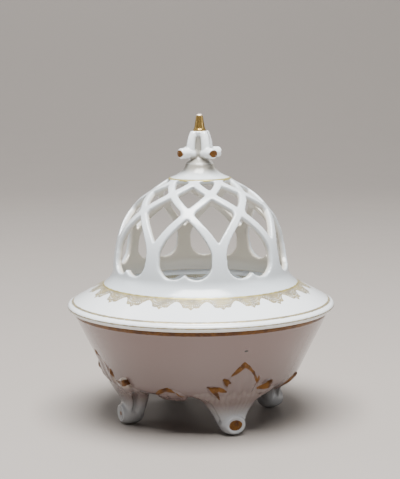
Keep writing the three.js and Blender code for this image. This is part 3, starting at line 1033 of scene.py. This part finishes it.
# Feet, each with its acanthus leaf on the wall
footShape = {
    "radius": 36.7,
    "scrollLength": 11.8,
    "scrollWidth": 12.6,
    "scrollTall": 10.6,
    "endFace": 9.2,
    "drop": 0.4,
    "scrollUp": 0.5,
    # sections of the leg: height, half width, outer face and inner face from the axis
    "leg": [
        (4.6, 6.3, 40.8, 32.2), (6.6, 7.2, 41.0, 31.5), (8.6, 8.1, 41.0, 31.2),
        (10.2, 9.1, 41.0, 31.1), (12.1, 10.4, 41.4, 31.1), (13.8, 11.7, 42.3, 31.2),
        (15.4, 13.0, 43.3, 31.5), (17.0, 14.7, 44.4, 32.0), (18.2, 17.0, 45.1, 32.4),
        (19.3, 20.4, 45.8, 32.6), (20.5, 24.0, 46.3, 32.4), (21.6, 26.6, 46.8, 32.0),
        (22.8, 28.0, 47.2, 32.0),
    ],
    "square": 3.4,  # 2 would make the sections oval
    "curl": 0.02,  # how much less wide it is inside than outside
    "pinch": 0.34,  # hollow down the leg's sides, between its outer ridge and the curl inside
    "pinchPlace": (0.38, 0.24),  # its middle and half width, from -1 inside to 1 outside
    "grain": 0.36,
    "softness": 9,
    "eye": (3.3, 2.5),  # half width and half height
    # the end face rises round its eye and is dished inside it
    "dishReach": 0.2,  # past the eye
    "dishEdge": 0.6,
    "dishRim": 0.3,
    "dishDepth": (0.4, 0.5, 0.35),  # at its edge, inside that and in the middle
    "gildingReach": 1.5,  # behind the wall or the end face
    # fine folds down the leg, to its half width, outside a radius and between heights, bumped and with
    # painted shade along them
    "folds": 6,
    "foldFrom": 38,
    "foldStart": (8.5, 12),
    "foldEnd": (25, 20),
    "foldDepth": 0.28,
    "foldShade": 0.2,
}
# Lobes of the leaf and its gilt strokes: (across, height, half width) stations on the wall
leafLobes = [
    [(0, 16, 9.5), (0, 22, 8.2), (0, 28, 7.2), (-0.3, 33, 4.6), (-0.7, 36.6, 2.0), (-0.9, 38.8, 0.5)],
    [(-4.6, 25, 3.2), (-7.6, 28.4, 1.8), (-9.2, 30.0, 0.7)],
    [(4.6, 25, 3.2), (7.6, 27.8, 1.4), (8.4, 30.0, 0.5)],
    [(-6, 20, 4.0), (-11.0, 23.4, 2.6), (-14, 24.9, 1.6), (-16.3, 26.2, 0.5)],
    [(6, 20, 4.0), (11, 23.2, 2.8), (14.6, 24.6, 2.2), (17.4, 25.6, 1.0)],
]
leafStrokes = [
    [(-0.85, 38.5, 0.2), (-1.0, 36.6, 1.5), (-2.6, 34.9, 1.4), (-4.2, 33.1, 1.1), (-5.7, 31.5, 0.35)],
    [
        (-0.85, 38.5, 0.2), (0.7, 36.5, 1.4), (2.9, 34.9, 1.1), (4.5, 33.2, 0.95), (5.9, 30.7, 0.7),
        (7.4, 27.7, 0.8),
    ],
    [(8.5, 30.0, 0.3), (8.4, 28.2, 0.95), (8.0, 26.3, 0.5)],
    [(-9.0, 29.6, 0.7), (-7.7, 28.7, 1.25), (-6.0, 28.1, 0.5)],
    [(-8.4, 29.0, 0.9), (-7.6, 27.6, 0.8), (-7.2, 26.4, 0.2)],
    [(-16.2, 26.1, 0.25), (-13.6, 25.3, 0.9), (-11.0, 24.8, 1.15), (-8.6, 24.0, 1.0), (-7.0, 23.3, 0.5)],
    [(-14.8, 25.3, 0.5), (-12.7, 23.9, 1.0), (-11.1, 22.2, 0.95), (-10.0, 20.6, 0.55), (-9.2, 19.1, 0.25)],
    [(9.1, 23.6, 0.6), (11.6, 24.1, 1.2), (14.2, 24.9, 1.55), (16.2, 25.9, 1.0), (17.2, 26.2, 0.4)],
]
# The maker's hand: one leaf has its right lobe further round, and its gilding is worn along one edge. Its
# pale value is a painted highlight round that lobe's gilding
leafQuirks = {"front_left": {"lobe": 4.0, "arm": 0.25, "eye": 0.4, "swelling": 2.0, "pale": 0.32}}
plainLeaf = {"lobe": 0, "arm": 1, "eye": 1, "swelling": 1.2, "pale": 0.0}


def leafOf(corner):
    quirk = leafQuirks.get(corner, plainLeaf)
    lobes, strokes = list(leafLobes), list(leafStrokes)
    for lines in (lobes, strokes):  # the right lobe is the last of each
        lines[-1] = [
            (across + quirk["lobe"] * min(1, index), height, half)
            for index, (across, height, half) in enumerate(lines[-1])
        ]
    strokes[1] = [(across, height, half * quirk["arm"]) for across, height, half in strokes[1]]
    return lobes, strokes, quirk


# A relief on the wall: a grid in (across, height), raised by a function and closed behind inside the wall
def reliefGrid(mesh, halfWidth, low, high, grain, relief, behind=1.3):
    def spread(corner):
        return corner.co.x * halfWidth, low + (corner.co.y + 1) / 2 * (high - low)

    columns, rows = round(2 * halfWidth / grain), round((high - low) / grain)
    front = bmesh.ops.create_grid(mesh, x_segments=columns, y_segments=rows, size=1)["verts"]
    flat = np.array([spread(corner) for corner in front])
    raised = relief(flat)
    faces = {face for corner in front for face in corner.link_faces}
    extruded = bmesh.ops.extrude_face_region(mesh, geom=list(faces))
    for part in extruded["geom"]:
        if isinstance(part, bmesh.types.BMVert):
            part.co = ontoWall(*spread(part), -behind)
    for corner, (across, height), outset in zip(front, flat, raised):
        corner.co = ontoWall(across, height, outset)


# A place on the bowl's outside, which runs round the lower corner to the underside
def ontoWall(across, height, outset):
    under, corner = bowlShape["underside"], bowlShape["outerCorner"]
    bend = under + corner * leanCosine
    foot = wallRadius(under)
    if height >= bend:
        radius, level = wallRadius(height, outset), height
    else:
        share = (bend - height) / (bend - under)
        pull = Vector((foot, under))
        near = Vector((wallRadius(bend), bend)).lerp(pull, share)
        far = pull.lerp(Vector((foot - corner, under)), share)
        point = near.lerp(far, share)
        along = (far - near).normalized()
        radius, level = point + Vector((-along.y, along.x)) * float(outset)
    turn = across / wallRadius(height)
    return Vector((radius * math.cos(turn), radius * math.sin(turn), level)) * mm


def alongWall(places):
    height = places[:, 2]
    return np.stack([np.arctan2(places[:, 1], places[:, 0]) * wallRadius(height), height], 1)


# A copy of the pattern, turned about the upright axis, in place of its node
def dressTurned(pattern, turn, material, node):
    turned = pattern.data.copy()
    turned.transform(Matrix.Rotation(turn, 4, "Z"))
    piece = bpy.data.objects.new(node + "_glazed", turned)
    bpy.context.scene.collection.objects.link(piece)
    dress(piece, material, "base", "foot_glaze", node)


# How far parts of the leaf stand proud, and how much less towards its tip
leafCarving = {
    "body": 1.0,
    "bodyLess": 0.6,
    "bodyFade": (27, 35),
    "edge": (-0.5, 1.8),
    "fold": 0.32,
    "foldTurns": 19,
    "foldRoot": (-0.4, 8),  # where the folds fan out from
    "foldEdge": (0.4, 2.4),
    "lip": 0.45,
    "lipLess": 0.35,
    "lipFade": (29, 36),
    "lipEdge": (-1.0, 0.8),
    "start": (20, 23),  # folds and lip begin above the leg
    "lobe": (13.8, 24.2),
    "lobeSize": (3.0, 2.0),
    "highlightEdge": (-3.2, -0.8),  # of the painted highlight round the lobe's gilding
    "highlightStart": (21.5, 24.5),
    "sunk": 0.25,
}


# Soft folds that fan out from the stem, a raised edge along the gilding and a swelling in the right lobe
def leafRelief(points, lobes, strokes, quirk):
    shape = leafCarving
    across, height = points[:, 0], points[:, 1]
    inside, gilt = nearestStroke(points, lobes), nearestStroke(points, strokes)
    proud = shape["body"] - shape["bodyLess"] * smoothStep(height, *shape["bodyFade"])
    fan = np.arctan2(across - shape["foldRoot"][0], height - shape["foldRoot"][1])
    folds = shape["fold"] * np.cos(fan * shape["foldTurns"]) * smoothStep(-inside, *shape["foldEdge"])
    lip = shape["lip"] - shape["lipLess"] * smoothStep(height, *shape["lipFade"])
    trim = (smoothStep(-gilt, *shape["lipEdge"]) * lip + folds) * smoothStep(height, *shape["start"])
    (x, y), (wide, tall) = shape["lobe"], shape["lobeSize"]
    swelling = np.exp(-(((across - x - quirk["lobe"]) / wide) ** 2 + ((height - y) / tall) ** 2))
    return smoothStep(-inside, *shape["edge"]) * proud + trim + quirk["swelling"] * swelling - shape["sunk"]


# One section of the leg: a rounded square, hollowed at its sides and bent round with the bowl
def legRing(mesh, height, half, outer, inner, cap):
    shape = footShape
    ring = bmesh.ops.create_circle(mesh, segments=96, radius=1, cap_ends=cap)["verts"]
    middle, spread = shape["pinchPlace"]
    power = shape["square"]
    for corner in ring:
        size = (abs(corner.co.x) ** power + abs(corner.co.y) ** power) ** (-1 / power)
        out, aside = corner.co.x * size, corner.co.y * size
        hollow = shape["pinch"] * math.exp(-(((out - middle) / spread) ** 2))
        aside *= half * (1 - shape["curl"] * (1 - out) - hollow)
        radius = (outer + inner) / 2 + out * (outer - inner) / 2
        corner.co = Vector((radius - outer + math.sqrt(outer ** 2 - aside ** 2), aside, height)) * mm
    return ring


def makeFoot(corner):
    shape = footShape
    lobes, strokes, quirk = leafOf(corner)
    mesh = bmesh.new()
    low, high, halfWidth, grain = bowlShape["underside"] + 0.4, 41, 20, 0.35
    reliefGrid(mesh, halfWidth, low, high, grain, lambda points: leafRelief(points, lobes, strokes, quirk))
    ends = (shape["leg"][0], shape["leg"][-1])
    bridgeRings(mesh, [legRing(mesh, *section, section in ends) for section in shape["leg"]])
    long, wide, end = shape["scrollLength"] / 2, shape["scrollWidth"] / 2, shape["endFace"] / 2
    dish = shape["eye"][0] + shape["dishReach"]
    lip, inside, middle = (long - depth for depth in shape["dishDepth"])
    profile = curve((0, -long), (wide, -long), (wide, 0), 10)
    profile += curve((wide, 0), (wide, 0.7 * long), (end, long), 10)[1:]
    profile += curve((end, long), ((end + dish) / 2, long + shape["dishRim"]), (dish, lip), 6)[1:]
    profile += curve((dish, lip), (dish - shape["dishEdge"], inside), (0, middle), 4)[1:]
    scroll = spun(profile, 48)
    lay = Matrix.Rotation(math.pi / 2, 4, "Y")
    flatten = Matrix.Diagonal((1, 1, shape["scrollTall"] / shape["scrollWidth"], 1))
    centre = Vector((shape["radius"], 0, shape["scrollTall"] / 2 - shape["drop"] + shape["scrollUp"])) * mm
    bmesh.ops.transform(scroll, matrix=Matrix.Translation(centre) @ flatten @ lay, verts=scroll.verts)
    part = bpy.data.meshes.new("scroll")
    scroll.to_mesh(part)
    scroll.free()
    mesh.from_mesh(part)
    bpy.data.meshes.remove(part)
    bmesh.ops.recalc_face_normals(mesh, faces=mesh.faces)
    foot = newPiece(mesh, "foot")
    fuse(foot, shape["grain"], shape["softness"])
    places = cornersOf(foot)
    radius = np.hypot(places[:, 0], places[:, 1])
    height = places[:, 2]
    points = alongWall(places)
    gilt = nearestStroke(points, strokes)
    gilt = np.where(radius > wallRadius(height) - shape["gildingReach"], gilt, noGilding)
    # pale: a painted highlight round the right lobe's gilding
    pale = smoothStep(-strokeDistance(points, strokes[-1]), *leafCarving["highlightEdge"])
    setDistances(foot, "pale", pale * smoothStep(height, *leafCarving["highlightStart"]) * quirk["pale"])
    off = ovalDistance(places[:, 1], height - centre.z / mm, *(half * quirk["eye"] for half in shape["eye"]))
    eye = np.maximum(off, shape["radius"] + long - shape["gildingReach"] - places[:, 0])
    setDistances(foot, "gilding", np.minimum(gilt, eye))
    heights, halves = zip(*(section[:2] for section in shape["leg"][:8]))
    aside = places[:, 1] / np.interp(height, heights, halves)
    setDistances(foot, "fold", np.where(radius > shape["foldFrom"], aside * shape["folds"], 0))
    return foot


def makeFeet():
    shape = footShape
    paint = Paint("footGlaze")
    waves = paint.maths("SINE", paint.attribute("fold") * fullTurn / 2 + paint.cloud(6, 2, 9.2) * 3)
    heights = paint.ease(paint.z, *shape["foldStart"]) * paint.ease(paint.z, *shape["foldEnd"])
    folds = abs(waves) * heights * paint.ease(paint.cloud(5, 2, 4.1), 0.3, 0.6)
    # the folds are bumped and also darkened with painted shade
    material = glazed(
        paint, gilt=paint.attribute("gilding"), cream=bodyTones["cream"] + paint.attribute("pale"),
        paintedLight=bodyPaintedLight(paint), relief=folds * shape["foldDepth"], shade=folds * shape["foldShade"],
    )
    plain = makeFoot("front_right")
    for index, corner in enumerate(["front_right", "back_right", "back_left", "front_left"]):
        pattern = makeFoot(corner) if corner in leafQuirks else plain
        dressTurned(pattern, (index - 0.5) * math.pi / 2, material, "foot_" + corner)
        if pattern is not plain:
            bpy.data.objects.remove(pattern)
    bpy.data.objects.remove(plain)


makeFeet()


# Apron shells between the feet
apronShape = {
    "width": 17.5,
    "low": 18.5,
    "high": 25.7,
    "relief": 1.05,
    "lip": 1.9,
    "turn": math.radians(4.2),  # past the middle between two feet
    "outline": (1.8, 0.7),  # of its oval: how fast it closes, and where it is widest
    "edge": (-0.4, 2.4),
    "flutes": 0.14,
    "fluteTurns": 13,
    "fluteRoot": 14,
    "fluteFade": (0.2, 0.6),
    "lipHeight": 0.3,
    "sunk": 0.3,
    "grain": 0.28,
    "softness": 5,
}
apronStrokes = [
    [
        (-8.2, 20.6, 0.7), (-7.2, 22.0, 1.6), (-5.4, 23.1, 1.9), (-2.4, 24.2, 1.5), (-0.6, 24.4, 1.1),
        (1.4, 23.8, 0.8), (2.8, 23.0, 0.4),
    ],
    [(3.9, 22.6, 0.35), (4.6, 21.4, 0.5), (5.6, 20.9, 0.35), (7.0, 20.4, 0.2)],
]


# A shell with a soft round edge, and shallow flutes that fan out from its lower edge
def apronRelief(points):
    shape = apronShape
    across, height = points[:, 0], points[:, 1]
    share = (height - shape["low"]) / (shape["high"] - shape["low"])
    taper, widest = shape["outline"]
    outline = shape["width"] / 2 * np.sqrt(np.clip(1 - (taper * share - widest) ** 2, 0, 1))
    fan = np.arctan2(across, height - shape["fluteRoot"])
    flutes = shape["flutes"] * np.cos(fan * shape["fluteTurns"]) * smoothStep(share, *shape["fluteFade"])
    lip = shape["lip"] * np.exp(-((share / shape["lipHeight"]) ** 2))
    proud = smoothStep(outline - np.abs(across), *shape["edge"])
    return proud * (shape["relief"] + flutes + lip) - shape["sunk"]


def makeAprons():
    shape = apronShape
    mesh = bmesh.new()
    reliefGrid(mesh, 10, bowlShape["underside"], shape["high"] + 0.6, shape["grain"], apronRelief)
    bmesh.ops.recalc_face_normals(mesh, faces=mesh.faces)
    apron = newPiece(mesh, "apron")
    fuse(apron, shape["grain"], shape["softness"])
    setDistances(apron, "gilding", nearestStroke(alongWall(cornersOf(apron)), apronStrokes))
    paint = Paint("apronGlaze")
    cream = bodyTones["cream"]
    material = glazed(paint, gilt=paint.attribute("gilding"), cream=cream, paintedLight=bodyPaintedLight(paint))
    for index, side in enumerate(["front", "right", "back", "left"]):
        dressTurned(apron, (index - 1) * math.pi / 2 + shape["turn"], material, "apron_" + side)
    bpy.data.objects.remove(apron)


makeAprons()


# Floor
floorShape = {
    "flat": 1.1,  # metres from the middle to where it bends up into the backdrop
    "bend": 1.0,
    "height": 2.2,
    "colour": (0.345, 0.315, 0.29, 1),
    "grey": (0.33, 0.30, 0.28, 1),
    "roughness": 0.45,
    "smears": 0.1,
}


def makeFloor():
    flat, bend, height = (floorShape[key] / mm for key in ("flat", "bend", "height"))
    profile = [Vector((0, 0)), Vector((flat / 2, 0))]
    profile += curve((flat, 0), (flat + bend, 0), (flat + bend, bend), 24)
    profile.append(Vector((flat + bend, height)))
    floor = newPiece(spun(profile, 96), "floor")
    floor.data.polygons.foreach_set("use_smooth", [True] * len(floor.data.polygons))
    paint = Paint("floorMatt")
    floor.data.materials.append(paint.finish({
        "Base Color": paint.mix(paint.cloud(300), floorShape["colour"], floorShape["grey"]),
        "Roughness": floorShape["roughness"] + paint.cloud(40) * floorShape["smears"],
    }))


makeFloor()
print("stage set")
